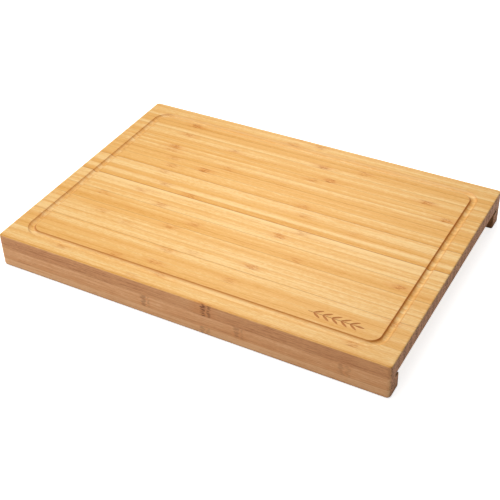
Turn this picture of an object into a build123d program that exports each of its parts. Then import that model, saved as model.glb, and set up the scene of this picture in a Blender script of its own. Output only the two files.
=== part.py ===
from build123d import *
import os

# Bamboo cutting board on two rails. Millimetres.
# +X runs along the bamboo strips, +Y to the rear, +Z up.
# The origin is on the table, under the middle of the board.

# Driving dimensions
LENGTH = 432.0
WIDTH = 304.0
HEIGHT = 38.0
PANEL_THICKNESS = 16.6
CORNER_RADIUS = 4.0  # the four upright corners
TOP_ARRIS_RADIUS = 1.5  # the sanded edge all round the top
FOOT_ARRIS_RADIUS = 2.4  # the rounder edge that the board stands on
END_ARRIS_RADIUS = 0.8  # lighter sanding where the underside meets the end faces
LEDGE_ARRIS_RADIUS = 0.8  # and on the long edges of the ledges

STRIP_PITCH = 7.1  # thickness of one pressed strip, across the board
MIDDLE_SEAM_Y = -7.6  # glue line where the two halves of the panel were joined

GROOVE_INSET = 20.15  # centre line of the juice groove, from the board's edge
GROOVE_CORNER_RADIUS = 15.0  # of the centre line
GROOVE_WIDTH = 7.1  # between its walls, below the lips
GROOVE_DEPTH = 2.2
GROOVE_LIP = 0.3  # the narrow bevel that breaks its edges

MARK_CENTRE_FROM_RIGHT = 69.0  # a burned leaf sprig in the front right corner, inside the groove
MARK_CENTRE_FROM_FRONT = 36.5
MARK_LENGTH = 56.0
MARK_DEPTH = 0.3
LEAF_LENGTH = 10.5
LEAF_WIDTH = 2.3
LEAF_ANGLE = 32.0  # between a leaf and the stem
LEAF_PAIRS = 5
STEM_WIDTH = 0.7

RAIL_LAMELLA_TOP = 10.0  # glue line inside each rail
SPINE_THICKNESS = 11.0
REBATE_DEPTH = 2.0  # how far each rail is let into the panel's underside
LEDGE_THICKNESS = 8.0
TRACK_HEIGHT = 3.4  # slot above each ledge, for the lip of a tray or a mat

# Sizes that follow from them
PANEL_BOTTOM = HEIGHT - PANEL_THICKNESS
SPINE_TOP = PANEL_BOTTOM + REBATE_DEPTH
LEDGE_TOP = PANEL_BOTTOM - TRACK_HEIGHT
RAIL_DEPTH = SPINE_THICKNESS + LEDGE_THICKNESS
HALF_LENGTH = LENGTH / 2
HALF_WIDTH = WIDTH / 2

LOW = (Align.CENTER, Align.CENTER, Align.MIN)


def block(y_from, y_to, z_from, z_to, length=LENGTH):
    """A square bar along X, centred on the board's length."""
    bar = Box(length, y_to - y_from, z_to - z_from, align=LOW)
    return Pos(0, (y_from + y_to) / 2, z_from) * bar


def on_side(edge, axis, value):
    """True for an edge that lies wholly in the plane where axis equals value."""
    box = edge.bounding_box()
    low, high = getattr(box.min, axis), getattr(box.max, axis)
    return abs(low - value) < 1e-4 and abs(high - value) < 1e-4


def board_blank():
    """The finished outline of the whole board: slab, bay, tracks and sanded edges, before the groove."""
    slab = Box(LENGTH, WIDTH, HEIGHT, align=LOW)
    corners = slab.edges().filter_by(Axis.Z)
    blank = fillet(corners, CORNER_RADIUS)
    for level, radius in ((HEIGHT, TOP_ARRIS_RADIUS), (0, FOOT_ARRIS_RADIUS)):
        blank = fillet([e for e in blank.edges() if on_side(e, "Z", level)], radius)

    bay_half = HALF_WIDTH - RAIL_DEPTH
    blank -= block(-bay_half, bay_half, 0, PANEL_BOTTOM)
    track_half = HALF_WIDTH - SPINE_THICKNESS
    blank -= block(-track_half, track_half, LEDGE_TOP, PANEL_BOTTOM)
    under_ends = [
        e
        for e in blank.edges().filter_by(Axis.Y)
        if on_side(e, "Z", PANEL_BOTTOM) and (on_side(e, "X", HALF_LENGTH) or on_side(e, "X", -HALF_LENGTH))
    ]
    blank = fillet(under_ends, END_ARRIS_RADIUS)
    ledge_edges = [
        e for e in blank.edges().filter_by(Axis.X) if on_side(e, "Y", bay_half) or on_side(e, "Y", -bay_half)
    ]
    return fillet(ledge_edges, LEDGE_ARRIS_RADIUS)


def groove_section():
    """The groove's outline across its run, with y = 0 at the board's top: a round floor and broken lips."""
    wall, lip, above = GROOVE_WIDTH / 2, GROOVE_LIP, 1.0
    edge = wall + lip
    floor = ThreePointArc((-wall, -lip), (0, -GROOVE_DEPTH), (wall, -lip))
    rim = Polyline((wall, -lip), (edge, 0), (edge, above), (-edge, above), (-edge, 0), (-wall, -lip))
    return make_face([floor, rim])


def groove_cuts():
    """The solids to take away for the juice groove: four straight runs and four quarter-turn corners."""
    section = groove_section()
    run_x, run_y = HALF_LENGTH - GROOVE_INSET, HALF_WIDTH - GROOVE_INSET
    turn_x, turn_y = run_x - GROOVE_CORNER_RADIUS, run_y - GROOVE_CORNER_RADIUS
    along_x = Plane((0, run_y, HEIGHT), x_dir=(0, 1, 0), z_dir=(1, 0, 0))
    along_y = Plane((run_x, 0, HEIGHT), x_dir=(1, 0, 0), z_dir=(0, -1, 0))
    turn_start = Plane((run_x, turn_y, HEIGHT), x_dir=(1, 0, 0), z_dir=(0, -1, 0))
    long_run = extrude(along_x * section, turn_x, both=True)
    short_run = extrude(along_y * section, turn_y, both=True)
    corner = revolve(turn_start * section, Axis((turn_x, turn_y, 0), (0, 0, 1)), 90)
    rear_corners = [corner, mirror(corner, Plane.YZ)]
    rear_half = [long_run] + rear_corners
    return rear_half + [mirror(cut, Plane.XZ) for cut in rear_half] + [short_run, mirror(short_run, Plane.YZ)]


def leaf_outline():
    """A pointed leaf along +X from its stalk: two shallow arcs."""
    middle, half = LEAF_LENGTH / 2, LEAF_WIDTH / 2
    upper = ThreePointArc((0, 0), (middle, half), (LEAF_LENGTH, 0))
    lower = ThreePointArc((LEAF_LENGTH, 0), (middle, -half), (0, 0))
    return make_face([upper, lower])


def burned_mark():
    """A plain sprig of leaves, as shallow as a hot iron burns: a stem, pairs of leaves and one at the tip."""
    stem_length = MARK_LENGTH - LEAF_LENGTH
    leaf = leaf_outline()
    sprig = Pos(stem_length / 2, 0) * Rectangle(stem_length + 1, STEM_WIDTH)
    sprig += Pos(stem_length, 0) * leaf
    for i in range(LEAF_PAIRS):
        along = stem_length * (i + 0.5) / LEAF_PAIRS
        for angle in (LEAF_ANGLE, -LEAF_ANGLE):
            sprig += Pos(along, 0) * Rot(0, 0, angle) * leaf
    centre_x = HALF_LENGTH - MARK_CENTRE_FROM_RIGHT
    centre_y = MARK_CENTRE_FROM_FRONT - HALF_WIDTH
    return Pos(centre_x - MARK_LENGTH / 2, centre_y, HEIGHT) * extrude(sprig, -MARK_DEPTH)


def make_panel(blank):
    """The top of the board as one slab, with its groove, mark and the rebates that take the rails."""
    panel = blank & block(-HALF_WIDTH, HALF_WIDTH, PANEL_BOTTOM, HEIGHT)
    for cut in groove_cuts() + [burned_mark()]:
        panel -= cut
    inner_y = HALF_WIDTH - SPINE_THICKNESS
    panel -= block(-HALF_WIDTH, -inner_y, PANEL_BOTTOM, SPINE_TOP)
    panel -= block(inner_y, HALF_WIDTH, PANEL_BOTTOM, SPINE_TOP)
    return panel


def strip_seams():
    """The glue lines across the panel, front to rear, with the sawn outer edges at both ends."""
    first = -int((MIDDLE_SEAM_Y + HALF_WIDTH) / STRIP_PITCH)
    last = int((HALF_WIDTH - MIDDLE_SEAM_Y) / STRIP_PITCH)
    inner = [MIDDLE_SEAM_Y + STRIP_PITCH * i for i in range(first, last + 1)]
    return [-HALF_WIDTH] + inner + [HALF_WIDTH]


def make_rail(blank, side):
    """One rail: two lamellas glued into an upright spine, and the ledge strip glued to its inner face."""
    outer_y = side * HALF_WIDTH
    spine_y = side * (HALF_WIDTH - SPINE_THICKNESS)
    inner_y = side * (HALF_WIDTH - RAIL_DEPTH)
    spine = sorted((outer_y, spine_y))
    ledge = sorted((spine_y, inner_y))
    return {
        "rail_base": blank & block(*spine, 0, RAIL_LAMELLA_TOP),
        "rail_riser": blank & block(*spine, RAIL_LAMELLA_TOP, SPINE_TOP),
        "track_ledge": blank & block(*ledge, 0, LEDGE_TOP),
    }


def save(name, shape):
    """Writes one sub-part, which has to be a single solid."""
    solids = shape.solids()
    assert len(solids) == 1, f"{name} came out as {len(solids)} solids"
    solid = solids[0]
    solid.label = name
    export_step(solid, f"parts/{name}.step")


def main():
    os.makedirs("parts", exist_ok=True)
    blank = board_blank()
    panel = make_panel(blank)
    seams = strip_seams()
    for number, (front, rear) in enumerate(zip(seams, seams[1:]), start=1):
        save(f"strip_{number:02d}", panel & block(front, rear, PANEL_BOTTOM, HEIGHT))
    for place, side in (("front", -1), ("rear", 1)):
        for piece, shape in make_rail(blank, side).items():
            save(f"{place}_{piece}", shape)


main()
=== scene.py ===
"""Bamboo cutting board: the wood's look, the floor, the light and the camera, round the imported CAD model.

Metres. +X runs along the strips, +Y to the rear, +Z up, and the board stands on z = 0.
"""

import math
import random

import bpy
from mathutils import Matrix, Vector


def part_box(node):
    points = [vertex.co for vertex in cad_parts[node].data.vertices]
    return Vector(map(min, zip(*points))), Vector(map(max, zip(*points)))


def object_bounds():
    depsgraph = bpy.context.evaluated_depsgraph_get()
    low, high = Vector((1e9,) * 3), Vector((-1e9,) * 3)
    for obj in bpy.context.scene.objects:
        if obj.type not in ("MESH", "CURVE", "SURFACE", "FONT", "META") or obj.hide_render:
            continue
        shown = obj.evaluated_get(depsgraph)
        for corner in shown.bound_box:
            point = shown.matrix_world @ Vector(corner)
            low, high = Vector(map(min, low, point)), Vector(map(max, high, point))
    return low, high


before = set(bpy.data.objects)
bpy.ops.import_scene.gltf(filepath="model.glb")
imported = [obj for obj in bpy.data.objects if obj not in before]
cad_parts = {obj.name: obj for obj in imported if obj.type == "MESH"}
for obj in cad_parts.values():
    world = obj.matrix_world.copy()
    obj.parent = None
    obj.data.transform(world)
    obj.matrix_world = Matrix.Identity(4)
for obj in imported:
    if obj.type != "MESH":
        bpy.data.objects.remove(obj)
cad_low, cad_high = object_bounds()

MM = 0.001

# The view: where the camera stands, seen from the middle of the board's footprint.
VIEW_AZIMUTH = math.radians(29.64)  # from the front towards the right end
VIEW_ELEVATION = math.radians(37.31)
VIEW_ROLL = math.radians(1.8)
VIEW_DISTANCE = 1.1079
VIEW_ASIDE = 0.0057  # the footprint's middle lies this far right of the line of sight
VIEW_ABOVE = 0.0091  # and this far above it
LENS_MM = 75.07
SENSOR_MM = 36.0

# The mark burned into the top near the front right corner, as the CAD places it.
MARK_FROM_RIGHT = 69 * MM
MARK_FROM_FRONT = 36.5 * MM
MARK_AREA = (62 * MM, 18 * MM)  # the mark and a little round it
MARK_DEPTH = 0.3 * MM

# The juice groove, as the CAD cuts it.
GROOVE_INSET = 20.15 * MM  # from the board's outer faces to the groove's middle line
GROOVE_RADIUS = 15 * MM  # of the middle line at the corners
GROOVE_REACH = 3.85 * MM  # from the middle line to either lip
GROOVE_DEPTH = 2.2 * MM

# The rails, as the CAD cuts them.
RAIL_WIDTH = 19 * MM
SPINE_WIDTH = 11 * MM  # a rail's full-height part, from its outer face
LEDGE_TOP = 18 * MM
PANEL_UNDERSIDE = 21.4 * MM
SLACK = 0.1 * MM  # so that a face counts as being on its own level

# The wood.
ROD_PITCH = 0.9 * MM  # between bundles of fibre
WEAR_AND_HIGHLIGHT_WIDTH = 1.8 * MM  # how far from an edge the sanding wear and the painted highlight reach
MEAN_TONE = 0.45  # 0 is the palest wood and 1 the darkest
TONE_SPREAD = 0.27  # how far a piece's tone may lie from the mean
NODES_PER_PIECE = 3
NODE_RANGE = 205  # millimetres from the middle of the length that a random culm node may lie
FAR_AWAY = 999  # millimetres: where a piece keeps the culm nodes that it hasn't got

# The light: where each soft box hangs, its width and its watts. All of them point at the board.
SOFT_BOXES = (
    ("box_middle", (0.03, -0.02, 0.5), 0.4, 1.55),
    ("box_rear", (-0.2, 0.6, 0.7), 0.45, 1.75),
    ("box_left", (-0.7, -0.35, 0.7), 0.45, 1.8),
    ("side_panel", (-2.2, 0.2, 1.2), 1.2, 18.0),
    ("front_fill", (-0.9, -1.7, 0.35), 0.9, 5.0),
)
LIGHTS_AIM = Vector((0, 0, 0.02))
SURROUND = 0.22  # the surround as it lights the board
BACKDROP = 1.0  # the surround as the picture shows it
FLOOR_GLOW = 0.75  # lifts the floor to white in the picture, and lights nothing
FLOOR_HALF = 4.0
FLOOR_WHITE = (0.93, 0.93, 0.93, 1)

SEED = 7


class Graph:
    """A short way to write a material: each call adds one node and returns its output."""

    def __init__(self, name):
        self.material = bpy.data.materials.new(name)
        self.material.use_nodes = True
        self.tree = self.material.node_tree
        self.tree.nodes.clear()
        self.shader = self.tree.nodes.new("ShaderNodeBsdfPrincipled")
        output = self.tree.nodes.new("ShaderNodeOutputMaterial")
        self.tree.links.new(self.shader.outputs[0], output.inputs["Surface"])

    def put(self, socket, value):
        """Links a socket to another socket, or sets it to a plain value."""
        if isinstance(value, bpy.types.NodeSocket):
            self.tree.links.new(value, socket)
        elif value is not None:
            socket.default_value = value

    def math(self, operation, a, b=None, c=None, clamp=False):
        """One sum on plain values, kept from 0 to 1 if clamp is set."""
        node = self.tree.nodes.new("ShaderNodeMath")
        node.operation = operation
        node.use_clamp = clamp
        for socket, value in zip(node.inputs, (a, b, c)):
            self.put(socket, value)
        return node.outputs[0]

    def vector_math(self, operation, a, b=None):
        """One sum on vectors. A dot product or a length comes out as a plain value."""
        node = self.tree.nodes.new("ShaderNodeVectorMath")
        node.operation = operation
        self.put(node.inputs[0], a)
        self.put(node.inputs[1], b)
        return node.outputs["Value" if operation in ("DOT_PRODUCT", "LENGTH") else "Vector"]

    def split(self, vector):
        """A vector's three parts."""
        node = self.tree.nodes.new("ShaderNodeSeparateXYZ")
        self.put(node.inputs[0], vector)
        return node.outputs["X"], node.outputs["Y"], node.outputs["Z"]

    def join(self, x=0.0, y=0.0, z=0.0):
        """A vector from its parts."""
        node = self.tree.nodes.new("ShaderNodeCombineXYZ")
        for socket, value in zip(node.inputs, (x, y, z)):
            self.put(socket, value)
        return node.outputs[0]

    def own(self, name, vector=False):
        """A value that each piece carries under this name."""
        node = self.tree.nodes.new("ShaderNodeAttribute")
        node.attribute_type = "OBJECT"
        node.attribute_name = name
        return node.outputs["Vector" if vector else "Fac"]

    def noise(self, vector, detail=2.0):
        """Smooth noise from 0 to 1, about 0.5, whose features are one unit of the vector wide."""
        node = self.tree.nodes.new("ShaderNodeTexNoise")
        self.put(node.inputs["Vector"], vector)
        node.inputs["Scale"].default_value = 1.0
        node.inputs["Detail"].default_value = detail
        return node.outputs["Fac"]

    def cells(self, vector):
        """The distance to the nearest of many scattered points, two-dimensional."""
        node = self.tree.nodes.new("ShaderNodeTexVoronoi")
        node.voronoi_dimensions = "2D"
        self.put(node.inputs["Vector"], vector)
        node.inputs["Scale"].default_value = 1.0
        return node.outputs["Distance"]

    def ramp(self, value, start, end, low=0.0, high=1.0):
        """Eases from low to high as the value goes from start to end."""
        node = self.tree.nodes.new("ShaderNodeMapRange")
        node.interpolation_type = "SMOOTHSTEP"
        for name, number in (
            ("Value", value),
            ("From Min", start),
            ("From Max", end),
            ("To Min", low),
            ("To Max", high),
        ):
            self.put(node.inputs[name], number)
        return node.outputs["Result"]

    def tint(self, amount, base, over):
        """Mixes from the base colour to the one over it by amount."""
        node = self.tree.nodes.new("ShaderNodeMix")
        node.data_type = "RGBA"
        self.put(node.inputs["Factor"], amount)
        self.put(node.inputs["A"], base)
        self.put(node.inputs["B"], over)
        return node.outputs["Result"]


def colour(red, green, blue):
    """A display colour, 0 to 255, as the linear colour that shaders use."""
    parts = [c / 255 for c in (red, green, blue)]
    return tuple(c / 12.92 if c <= 0.04045 else ((c + 0.055) / 1.055) ** 2.4 for c in parts) + (1.0,)


# The wood's colours: on top, on the sides, on cut ends, and where something has marked it. The groove's and
# the under colours are painted shade, and the pale edge colour is partly a painted highlight.
PALE = colour(241, 202, 139)
HONEY = colour(231, 177, 101)
TOFFEE = colour(214, 149, 62)
AMBER = colour(210, 124, 46)
SCAR = colour(184, 100, 14)
SIDE_SCAR = colour(136, 76, 40)
SIDE_PALE = colour(240, 188, 136)
SIDE_HONEY = colour(226, 163, 109)
SIDE_TOFFEE = colour(190, 121, 74)
END_PALE = colour(228, 168, 126)
END_DARK = colour(118, 74, 50)
GLUE = colour(168, 108, 52)
# Painted shade: the brown that darkens the feet's bottom edges and the rails' faces inside the bay.
UNDER_SHADE = colour(112, 72, 44)
# Painted shade in the groove: a brown for its inner wall, and a darker one for its lips and the walls
# across the fibres, where end grain also darkens.
GROOVE_SHADE = colour(212, 136, 46)
DEEP_GROOVE_SHADE = colour(178, 98, 28)
BURN = colour(178, 104, 48)
# Partly sanding wear and partly a painted highlight: the pale colour of the outer edges.
WEAR_AND_HIGHLIGHT = colour(247, 216, 160)


class Wood(Graph):
    """Pressed bamboo: its fibres run along X, so long faces show streaks and cut ends show dots."""

    def __init__(self, name):
        super().__init__(name)
        self.place = self.tree.nodes.new("ShaderNodeTexCoord").outputs["Object"]
        self.x, self.y, self.z = self.split(self.place)
        self.seed = self.own("grain_seed")
        self.follow_groove()
        self.sort_faces()
        self.grain()
        self.measure_strip()

    def times(self, *values):
        """The product of several values."""
        result = values[0]
        for value in values[1:]:
            result = self.math("MULTIPLY", result, value)
        return result

    def total(self, *values):
        """The sum of several values."""
        result = values[0]
        for value in values[1:]:
            result = self.math("ADD", result, value)
        return result

    def centred(self, value, scale):
        """The value's distance from one half, scaled."""
        return self.math("MULTIPLY", self.math("SUBTRACT", value, 0.5), scale)

    def gap(self, value, middle):
        """How far a value lies from a middle value."""
        return self.math("ABSOLUTE", self.math("SUBTRACT", value, middle))

    def inset(self, axis):
        """How far a point is inside the board's outer faces across this axis."""
        return self.math("SUBTRACT", cad_high[axis], self.math("ABSOLUTE", (self.x, self.y)[axis]))

    def follow_groove(self):
        """Finds the juice groove: its walls, its lips, and how squarely it crosses the fibres."""
        past = []
        for axis, place in enumerate((self.x, self.y)):
            straight = cad_high[axis] - GROOVE_INSET - GROOVE_RADIUS
            beyond = self.math("SUBTRACT", self.math("ABSOLUTE", place), straight)
            past.append(self.math("MAXIMUM", beyond, 0.0))
        distance = self.vector_math("LENGTH", self.join(*past))
        outward = self.math("SUBTRACT", distance, GROOVE_RADIUS)
        high = self.math("GREATER_THAN", self.z, cad_high[2] - 1.5 * GROOVE_DEPTH)
        between_lips = self.math("LESS_THAN", self.math("ABSOLUTE", outward), GROOVE_REACH)
        self.in_groove = self.times(between_lips, high)
        steep, level = 0.98 * GROOVE_REACH, 0.45 * GROOVE_REACH
        self.inner_wall = self.times(self.ramp(outward, -steep, -level, 1.0, 0.0), self.in_groove)
        self.outer_wall = self.times(self.ramp(outward, level, steep), self.in_groove)
        self.inner_lip = self.times(self.thin_line(outward, -GROOVE_REACH), high)
        self.outer_lip = self.times(self.thin_line(outward, GROOVE_REACH), high)
        reach = self.math("MAXIMUM", distance, MM)
        self.across_groove = self.math("DIVIDE", past[0], reach, clamp=True)

    def thin_line(self, value, middle):
        """1 where the value is the middle one, fading to 0 within a millimetre."""
        return self.ramp(self.gap(value, middle), 0.1 * MM, 0.7 * MM, 1.0, 0.0)

    def sort_faces(self):
        """Tells cut ends and side faces from the rest by how they face. The groove is neither."""
        normal = self.tree.nodes.new("ShaderNodeNewGeometry").outputs["Normal"]
        normal_x, normal_y, _ = self.split(normal)
        not_groove = self.math("SUBTRACT", 1.0, self.in_groove)
        self.end_cut = self.times(self.ramp(self.math("ABSOLUTE", normal_x), 0.45, 1.0), not_groove)
        self.side_cut = self.times(self.ramp(self.math("ABSOLUTE", normal_y), 0.45, 0.95), not_groove)

    def grain(self):
        """The streaks and rods that colour, gloss and relief share."""
        self.broad = self.streaks(170 * MM, 3.4 * MM, 1.3, 1.0)
        self.medium = self.streaks(75 * MM, 1.5 * MM, 5.9)
        self.fine = self.streaks(22 * MM, 0.45 * MM, 9.1)
        self.specks = self.streaks(4 * MM, 0.6 * MM, 6.7, 1.0)
        self.chops = self.streaks(11 * MM, 0.9 * MM, 8.2, 1.0)
        self.cloud = self.noise(self.join(self.times(self.x, 14.0), self.seed, 4.4), 1.0)
        self.bundle = self.fibre_bundles()

    def streaks(self, length, width, shift, detail=2.0):
        """Noise drawn out along the strip, in another place on each strip."""
        wave = self.noise(self.join(self.times(self.x, 9.0), self.seed, shift), 1.0)
        sway = self.times(wave, 1.6 * MM)
        point = self.join(
            self.math("DIVIDE", self.x, length),
            self.math("DIVIDE", self.math("ADD", self.y, sway), width),
            self.math("DIVIDE", self.math("ADD", self.z, sway), width),
        )
        offset = self.join(
            self.math("MULTIPLY_ADD", self.seed, 13.7, shift),
            shift,
            self.times(self.seed, 3.1),
        )
        return self.noise(self.vector_math("ADD", point, offset), detail)

    def fibre_bundles(self):
        """Rods of dark fibre along the strip: dots on a cut end, hair lines on a long face."""
        wave = self.noise(self.join(self.times(self.x, 30.0), self.seed, 2.0), 1.0)
        wander = self.times(wave, 2.2)
        across = self.math("ADD", self.math("DIVIDE", self.y, ROD_PITCH), wander)
        up = self.math("SUBTRACT", self.math("DIVIDE", self.z, ROD_PITCH), wander)
        return self.ramp(self.cells(self.join(across, up)), 0.16, 0.36, 1.0, 0.0)

    def measure_strip(self):
        """How far across the strip's thickness a point is, from one glue line to the other."""
        across = self.vector_math("DOT_PRODUCT", self.place, self.own("across", vector=True))
        span_from, span_to, dark_side = self.split(self.own("span", vector=True))
        self.depth = self.math("SUBTRACT", across, span_from)
        self.width = self.math("SUBTRACT", span_to, span_from)
        share = self.math("DIVIDE", self.depth, self.width)
        # The culm's outer side, along one glue line, has closer fibres and is darker.
        self.outer = self.math("SUBTRACT", 1.0, self.gap(share, dark_side), clamp=True)

    def culm_nodes(self):
        """Scars and halos where the culm had its nodes: each piece carries up to three of them.

        A strip's narrow face cuts a node as a cluster of short dashes. Its wide face cuts it as
        lines across the face.
        """
        ripple = self.centred(self.streaks(9 * MM, 2.6 * MM, 3.3), 11 * MM)
        places = self.split(self.own("knots", vector=True))
        strengths = self.split(self.own("knot_strengths", vector=True))
        clusters, lines, halos = [], [], []
        for knot_x, strength in zip(places, strengths):
            along = self.math("ADD", self.math("SUBTRACT", self.x, knot_x), ripple)
            off = self.math("ABSOLUTE", along)
            line = self.ramp(off, 1.0 * MM, 3.2 * MM, 1.0, 0.0)
            second = self.ramp(self.gap(along, 6 * MM), 0.5 * MM, 2.4 * MM, 0.7, 0.0)
            lines.append(self.times(self.math("MAXIMUM", line, second), strength))
            clusters.append(self.times(self.ramp(off, 2 * MM, 9 * MM, 1.0, 0.0), strength))
            halos.append(self.times(self.ramp(off, 1 * MM, 22 * MM, 1.0, 0.0), strength))
        dashes = self.ramp(self.streaks(7 * MM, 0.6 * MM, 7.7), 0.49, 0.58)
        gaps = self.ramp(self.streaks(8 * MM, 1.6 * MM, 2.9), 0.3, 0.5)
        streaky = self.ramp(self.streaks(16 * MM, 1.8 * MM, 4.9), 0.3, 0.65, 0.35, 1.0)
        narrow_scar = self.times(self.total(*clusters), dashes)
        wide_scar = self.times(self.total(*lines), gaps)
        wide_share = self.times(self.math("SUBTRACT", wide_scar, narrow_scar), self.side_cut)
        scar = self.math("ADD", narrow_scar, wide_share, clamp=True)
        halo = self.math("MULTIPLY", self.total(*halos), streaky, clamp=True)
        return scar, halo

    def glue_lines(self):
        """The glue at both sides of the strip, each side as dark as the piece says."""
        front_seam, rear_seam, _ = self.split(self.own("seams", vector=True))
        rest_of_width = self.math("SUBTRACT", self.width, self.depth)
        sides = []
        for off_glue, strength in ((self.depth, front_seam), (rest_of_width, rear_seam)):
            sides.append(self.times(self.ramp(off_glue, 0.05 * MM, 0.55 * MM, 1.0, 0.0), strength))
        return self.math("MAXIMUM", *sides)

    def burned(self):
        """1 in the burned mark's shallow recess, inside the mark's own area, and 0 elsewhere."""
        top = cad_high[2]
        mark_x = cad_high[0] - MARK_FROM_RIGHT
        mark_y = cad_low[1] + MARK_FROM_FRONT
        inside_x = self.math("LESS_THAN", self.gap(self.x, mark_x), MARK_AREA[0] / 2)
        inside_y = self.math("LESS_THAN", self.gap(self.y, mark_y), MARK_AREA[1] / 2)
        below = self.ramp(self.z, top - MARK_DEPTH / 2, top - MARK_DEPTH / 6, 1.0, 0.0)
        shallow = self.math("GREATER_THAN", self.z, top - 2 * MARK_DEPTH)
        return self.times(inside_x, inside_y, below, shallow)

    def rail_inner_faces(self):
        """1 on the rails' faces that look into the bay and on the tracks' walls, and 0 elsewhere."""
        inset = self.inset(1)
        on_face = self.math("LESS_THAN", self.gap(inset, RAIL_WIDTH), 0.5 * MM)
        in_track = self.times(
            self.math("GREATER_THAN", self.z, LEDGE_TOP - SLACK),
            self.math("GREATER_THAN", inset, SPINE_WIDTH - SLACK),
            self.math("LESS_THAN", inset, RAIL_WIDTH),
        )
        under = self.math("LESS_THAN", self.z, PANEL_UNDERSIDE + SLACK)
        return self.times(under, self.math("MAXIMUM", on_face, in_track))

    def edge_wear_and_highlight(self):
        """Rises to 1 towards the board's outer edges, where two of its outer faces meet."""
        closeness = []
        for inset in (self.inset(0), self.inset(1), self.math("SUBTRACT", cad_high[2], self.z)):
            closeness.append(self.ramp(inset, 0.0, WEAR_AND_HIGHLIGHT_WIDTH, 1.0, 0.0))
        near_x, near_y, near_top = closeness
        rim = self.times(near_top, self.math("MAXIMUM", near_x, near_y))
        return self.math("MAXIMUM", rim, self.times(near_x, near_y))


def long_faces(g):
    """The colour of the faces along the fibres: honey on top, and redder on the sides."""
    warmth = g.total(
        g.own("tone"),
        g.centred(g.broad, 0.8),
        g.centred(g.medium, 0.3),
        g.centred(g.fine, 0.4),
        g.centred(g.specks, 0.9),
        g.centred(g.chops, 0.5),
        g.centred(g.cloud, 0.25),
        g.centred(g.outer, 0.28),
    )
    wood = g.tint(g.ramp(warmth, 0.0, 0.55), PALE, HONEY)
    wood = g.tint(g.ramp(warmth, 0.5, 1.3), wood, TOFFEE)
    side_warmth = g.total(warmth, g.centred(g.fine, 1.0), g.centred(g.medium, 0.8))
    side = g.tint(g.ramp(side_warmth, 0.0, 0.55), SIDE_PALE, SIDE_HONEY)
    side = g.tint(g.ramp(side_warmth, 0.5, 1.3), side, SIDE_TOFFEE)
    wood = g.tint(g.side_cut, wood, side)
    hair_line = g.times(g.bundle, g.ramp(g.math("ADD", g.outer, g.fine), 0.7, 1.5, 0.03, 0.3))
    return g.tint(hair_line, wood, AMBER)


def cut_ends(g, wood):
    """Cut ends drink the oil and darken, and the bundles show as dots."""
    across, up = g.math("DIVIDE", g.y, 2.4 * MM), g.math("DIVIDE", g.z, 1.8 * MM)
    blotch = g.noise(g.join(g.seed, across, up), 1.0)
    speckle = g.total(
        g.centred(g.outer, 0.4),
        g.centred(g.medium, 1.2),
        g.centred(blotch, 1.6),
        g.times(g.bundle, 0.6),
    )
    end_wood = g.tint(g.ramp(speckle, -0.3, 0.9), END_PALE, END_DARK)
    return g.tint(g.end_cut, wood, end_wood)


def groove_walls(g, wood):
    """Paints shade and light into the groove's colour.

    The inner wall and the lips get a painted brown shade. The runs across the fibres are darker still,
    partly because end grain darkens and partly as painted shade. The outer wall along the fibres is paler:
    painted light.
    """
    # Painted light: the outer wall along the fibres is made paler.
    outer_wall_light = g.times(g.outer_wall, g.math("MULTIPLY_ADD", g.across_groove, -0.7, 0.7))
    wood = g.tint(outer_wall_light, wood, PALE)
    # Painted shade: the inner wall, the walls across the fibres and the lips are tinted brown.
    wood = g.tint(g.times(g.inner_wall, 0.75), wood, GROOVE_SHADE)
    walls = g.math("MAXIMUM", g.times(g.inner_wall, 0.7), g.times(g.outer_wall, 0.38))
    wood = g.tint(g.times(walls, g.across_groove), wood, DEEP_GROOVE_SHADE)
    lips = g.math("MAXIMUM", g.times(g.inner_lip, 0.45), g.times(g.outer_lip, 0.2))
    return g.tint(lips, wood, DEEP_GROOVE_SHADE)


def bamboo():
    """The wood of every piece: its colour, its gloss and its fine relief."""
    g = Wood("bamboo")
    wood = groove_walls(g, cut_ends(g, long_faces(g)))

    scar, halo = g.culm_nodes()
    wood = g.tint(g.times(halo, 0.42), wood, AMBER)
    wood = g.tint(scar, wood, g.tint(g.side_cut, SCAR, SIDE_SCAR))

    seam = g.glue_lines()
    wood = g.tint(g.times(seam, g.math("SUBTRACT", 1.0, g.end_cut)), wood, GLUE)

    burn = g.burned()
    wood = g.tint(g.times(burn, g.ramp(g.fine, 0.2, 0.8, 0.7, 1.0)), wood, BURN)

    # Painted shade: the feet's bottom edges and the rails' faces inside the bay are darkened as if they lay
    # in shade. The outer edges are paler, partly from sanding wear and partly as a painted highlight.
    wood = g.tint(g.ramp(g.z, 0.8 * MM, 2.8 * MM, 0.75, 0.0), wood, UNDER_SHADE)
    wood = g.tint(g.times(g.rail_inner_faces(), 0.6), wood, UNDER_SHADE)
    # Partly sanding wear and partly a painted highlight: the outer edges are made paler.
    wear_and_highlight = g.edge_wear_and_highlight()
    wood = g.tint(g.times(wear_and_highlight, 0.12), wood, WEAR_AND_HIGHLIGHT)
    g.put(g.shader.inputs["Base Color"], wood)

    gloss = g.total(
        g.math("MULTIPLY_ADD", g.end_cut, 0.14, 0.48),
        g.centred(g.medium, 0.22),
        g.times(burn, 0.2),
        g.times(wear_and_highlight, -0.08),
    )
    g.put(g.shader.inputs["Roughness"], gloss)
    g.shader.inputs["IOR"].default_value = 1.46
    g.shader.inputs["Specular IOR Level"].default_value = 0.32

    relief = g.total(
        g.times(g.bundle, -0.35),
        g.times(g.fine, 0.8),
        g.times(seam, -0.6),
        g.times(scar, -0.5),
    )
    bump = g.tree.nodes.new("ShaderNodeBump")
    bump.inputs["Strength"].default_value = 0.35
    bump.inputs["Distance"].default_value = 0.12 * MM
    g.put(bump.inputs["Height"], relief)
    g.put(g.shader.inputs["Normal"], bump.outputs[0])
    return g.material


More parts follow.
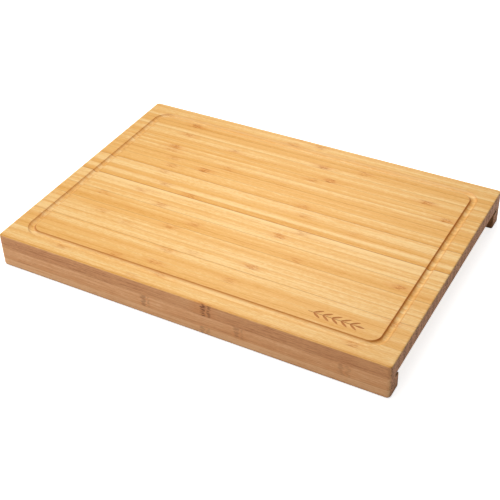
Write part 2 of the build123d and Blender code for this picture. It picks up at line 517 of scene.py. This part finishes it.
# Each piece's culm nodes: how far each is from the middle of the length, in millimetres, and how
# dark it is, from 0 to 1. A piece that isn't listed gets one at random. Strips count from the front.
NODES = {
    "strip_01": [(27, 1.0)],
    "strip_03": [(-147, 0.5), (173, 0.5)],
    "strip_05": [(-90, 0.5)],
    "strip_06": [(-47, 0.6)],
    "strip_07": [(31, 0.4)],
    "strip_09": [(-47, 0.5), (196, 0.6)],
    "strip_11": [(41, 0.8)],
    "strip_14": [(-65, 0.5)],
    "strip_16": [(-45, 0.5), (181, 0.8)],
    "strip_18": [(-96, 0.45)],
    "strip_19": [(43, 0.8)],
    "strip_20": [(-129, 0.4)],
    "strip_21": [(61, 0.4)],
    "strip_22": [(-76, 0.7)],
    "strip_23": [(-112, 0.5)],
    "strip_25": [(50, 0.4)],
    "strip_27": [(41, 0.5)],
    "strip_28": [(-125, 0.5)],
    "strip_29": [(-87, 1.0)],
    "strip_31": [(-66, 0.5)],
    "strip_33": [(-143, 0.9), (183, 0.9)],
    "strip_34": [(27, 0.5)],
    "strip_35": [(45, 0.8)],
    "strip_36": [(-76, 0.5), (153, 0.9)],
    "strip_37": [(-142, 0.6)],
    "strip_38": [(27, 0.9)],
    "strip_39": [(74, 0.5)],
    "strip_40": [(-143, 0.9)],
    "strip_43": [(7, 0.6)],
    "front_rail_riser": [(-41, 0.4), (62, 0.35), (169, 0.25)],
    "front_rail_base": [(25, 0.35)],
}
# Pieces that stand out: lighter is below 0, darker above.
TONES = {
    "strip_01": 0.46,
    "strip_02": -0.1,
    "strip_03": -0.04,
    "strip_20": -0.26,
    "strip_21": -0.36,
    "strip_22": 0.3,
    "strip_23": -0.24,
    "strip_24": 0.22,
    "strip_25": -0.24,
    "strip_26": -0.24,
    "strip_27": 0.16,
    "strip_29": 0.14,
    "strip_30": 0.14,
    "strip_35": 0.18,
    "strip_40": 0.2,
    "strip_42": -0.12,
    "strip_43": -0.14,
    "front_rail_riser": 0.05,
    "front_rail_base": -0.3,
}
# Glue lines that show darkest, each behind the strip of that number.
BOLD_SEAMS = {
    9: 0.6,
    14: 0.55,
    17: 0.5,
    21: 1.0,
    26: 0.7,
    28: 0.4,
    30: 0.4,
    32: 0.35,
    34: 0.4,
    37: 0.4,
    39: 0.35,
}


def dress(material):
    """Gives every CAD node the wood, with its own tone, grain, culm nodes and glue lines."""
    chance = random.Random(SEED)
    seam_behind = 0.0
    for name in sorted(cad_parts):
        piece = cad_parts[name]
        low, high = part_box(name)
        is_strip = name.startswith("strip_")
        number = int(name.split("_")[1]) if is_strip else 0
        tone = chance.uniform(-TONE_SPREAD, TONE_SPREAD)
        culm_nodes = [(chance.uniform(-NODE_RANGE, NODE_RANGE), chance.uniform(0.2, 0.5))]
        dark_side = chance.choice((0.0, 1.0))
        seam_before = seam_behind
        seam_behind = BOLD_SEAMS.get(number, chance.uniform(0.04, 0.2))
        culm_nodes = NODES.get(name, culm_nodes) + [(FAR_AWAY, 0.0)] * NODES_PER_PIECE
        culm_nodes = culm_nodes[:NODES_PER_PIECE]
        axis = 1 if is_strip else 2
        piece["grain_seed"] = float(chance.uniform(0, 40))
        piece["tone"] = float(MEAN_TONE + TONES.get(name, tone))
        piece["across"] = [0.0, 1.0, 0.0] if is_strip else [0.0, 0.0, 1.0]
        piece["span"] = [low[axis], high[axis], dark_side]
        piece["knots"] = [place * MM for place, _ in culm_nodes]
        piece["knot_strengths"] = [strength for _, strength in culm_nodes]
        piece["seams"] = [seam_before, seam_behind, 0.0]
        for place in range(max(1, len(piece.material_slots))):
            if not piece.material_slots:
                piece.data.materials.append(material)
            piece.material_slots[place].material = material


def make_floor():
    """A wide pale floor under the board."""
    mesh = bpy.data.meshes.new("studio_floor")
    signs = ((-1, -1), (1, -1), (1, 1), (-1, 1))
    corners = [(x * FLOOR_HALF, y * FLOOR_HALF, 0) for x, y in signs]
    mesh.from_pydata(corners, [], [(0, 1, 2, 3)])
    floor = bpy.data.objects.new("studio_floor", mesh)
    bpy.context.scene.collection.objects.link(floor)
    g = Graph("studio_floor")
    g.shader.inputs["Base Color"].default_value = FLOOR_WHITE
    g.shader.inputs["Roughness"].default_value = 0.9
    g.shader.inputs["Specular IOR Level"].default_value = 0.1
    g.shader.inputs["Emission Color"].default_value = (1, 1, 1, 1)
    seen = g.tree.nodes.new("ShaderNodeLightPath").outputs["Is Camera Ray"]
    g.put(g.shader.inputs["Emission Strength"], g.math("MULTIPLY", seen, FLOOR_GLOW))
    mesh.materials.append(g.material)


def area_light(name, place, size, power):
    """A square soft light that points at the board's middle."""
    light = bpy.data.lights.new(name, "AREA")
    light.shape = "SQUARE"
    light.size = size
    light.energy = power
    lamp = bpy.data.objects.new(name, light)
    lamp.location = place
    lamp.rotation_euler = (LIGHTS_AIM - Vector(place)).to_track_quat("-Z", "Y").to_euler()
    bpy.context.scene.collection.objects.link(lamp)


def make_lights():
    """Soft boxes above the board, large panels at its left and front, and an even surround.

    The surround lights the board weakly, but the camera sees it as white.
    """
    for name, place, size, power in SOFT_BOXES:
        area_light(name, place, size, power)
    world = bpy.data.worlds.new("studio")
    world.use_nodes = True
    tree = world.node_tree
    background = tree.nodes["Background"]
    background.inputs["Color"].default_value = (1, 1, 1, 1)
    shade = tree.nodes.new("ShaderNodeMapRange")
    shade.inputs["To Min"].default_value = SURROUND
    shade.inputs["To Max"].default_value = BACKDROP
    seen = tree.nodes.new("ShaderNodeLightPath").outputs["Is Camera Ray"]
    tree.links.new(seen, shade.inputs["Value"])
    tree.links.new(shade.outputs["Result"], background.inputs["Strength"])
    bpy.context.scene.world = world
    bpy.context.scene.view_settings.view_transform = "Standard"


def make_camera():
    """The camera, from its angles and distance."""
    backward = Vector(
        (
            math.sin(VIEW_AZIMUTH) * math.cos(VIEW_ELEVATION),
            -math.cos(VIEW_AZIMUTH) * math.cos(VIEW_ELEVATION),
            math.sin(VIEW_ELEVATION),
        )
    )
    level_right = (-backward).cross(Vector((0, 0, 1))).normalized()
    level_up = backward.cross(level_right)
    right = math.cos(VIEW_ROLL) * level_right - math.sin(VIEW_ROLL) * level_up
    up = backward.cross(right)
    data = bpy.data.cameras.new("camera")
    data.lens = LENS_MM
    data.sensor_width = SENSOR_MM
    camera = bpy.data.objects.new("camera", data)
    place = backward * VIEW_DISTANCE - right * VIEW_ASIDE - up * VIEW_ABOVE
    turn = Matrix((right, up, backward)).transposed().to_4x4()
    camera.matrix_world = Matrix.Translation(place) @ turn
    bpy.context.scene.collection.objects.link(camera)
    bpy.context.scene.camera = camera


make_camera()
make_lights()
make_floor()
dress(bamboo())
